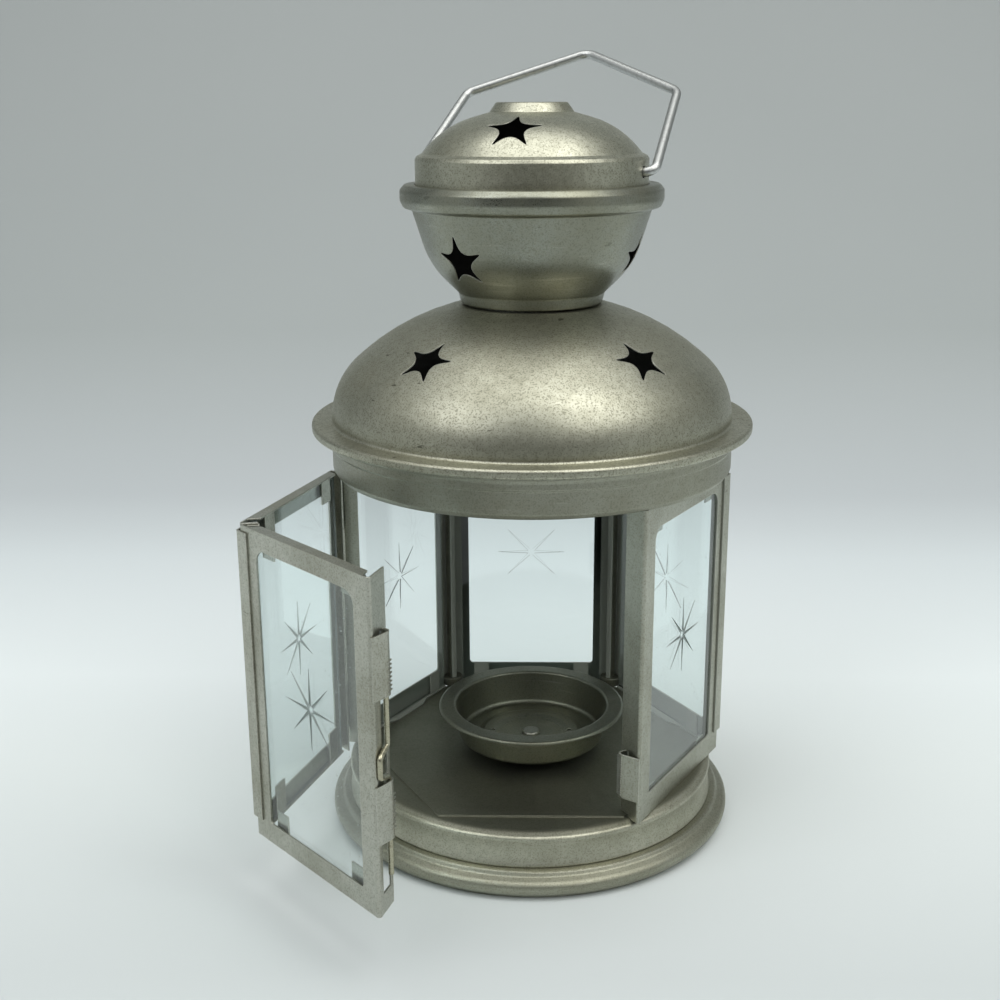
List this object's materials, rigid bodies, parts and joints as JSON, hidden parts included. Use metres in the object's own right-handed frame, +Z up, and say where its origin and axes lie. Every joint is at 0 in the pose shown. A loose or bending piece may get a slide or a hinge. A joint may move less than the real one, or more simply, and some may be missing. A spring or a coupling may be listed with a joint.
{
  "type": "candle lantern",
  "caption": "Hexagonal punched tin candle lantern with glazed frames, a hinged corner door, a drop-pin latch, a domed roof with star vents and a wire bail.",
  "frame": {"origin": "centre of the base on the surface that it stands on", "axes": "+Z up; -Y towards the door's closed front pane; +X towards the right corner of the hexagon; the hinge is on the -X corner"},
  "size_m": [0.1494, 0.1723, 0.2415],
  "materials": {
    "tin_sheet": "satin tin plate, warm grey, finely mottled",
    "rivet_steel": "plain rivet steel",
    "wire_steel": "drawn wire",
    "latch_wire": "dull yellowish plated wire",
    "bail_wire": "bright plated wire",
    "clear_glass": "clear, with a cut star"
  },
  "bodies": {
    "lantern": {"base_foot_ring": "tin_sheet", "base_pan": "tin_sheet", "candle_cup": "tin_sheet", "corner_bead_back_left": "tin_sheet", "corner_bead_back_right": "tin_sheet", "corner_bead_right": "tin_sheet", "crown_ring": "tin_sheet", "cup_rivet": "rivet_steel", "cup_spacer": "tin_sheet", "frame_back": "tin_sheet", "frame_left_back": "tin_sheet", "frame_right_back": "tin_sheet", "frame_right_front": "tin_sheet", "glass_back": "clear_glass", "glass_left_back": "clear_glass", "glass_right_back": "clear_glass", "glass_right_front": "clear_glass", "hinge_pin": "wire_steel", "roof_dome": "tin_sheet", "seam_strip_back_left": "tin_sheet", "seam_strip_back_right": "tin_sheet", "seam_strip_right": "tin_sheet", "vent_bowl": "tin_sheet", "vent_cap": "tin_sheet"},
    "door": {"door_frame_left": "tin_sheet", "door_frame_front": "tin_sheet", "glass_door_left": "clear_glass", "glass_door_front": "clear_glass", "corner_bead_door": "tin_sheet", "seam_strip_door": "tin_sheet"},
    "latch": {"latch_pin": "latch_wire"},
    "bail": {"bail": "bail_wire"}
  },
  "joints": [
    {"name": "door_hinge", "type": "hinge", "parent": "lantern", "child": "door", "pos_m": [-0.0623, 0, 0.0675], "axis": [0, 0, -1], "range_deg": [-47.3, 75]},
    {"name": "latch_slide", "type": "slide", "parent": "door", "child": "latch", "axis": [0, 0, 1], "range_m": [0, 0.0125]},
    {"name": "bail_swing", "type": "hinge", "parent": "lantern", "child": "bail", "pos_m": [0, 0, 0.2062], "axis": [0.9304, -0.3665, 0], "range_deg": [-40, 150]}
  ]
}
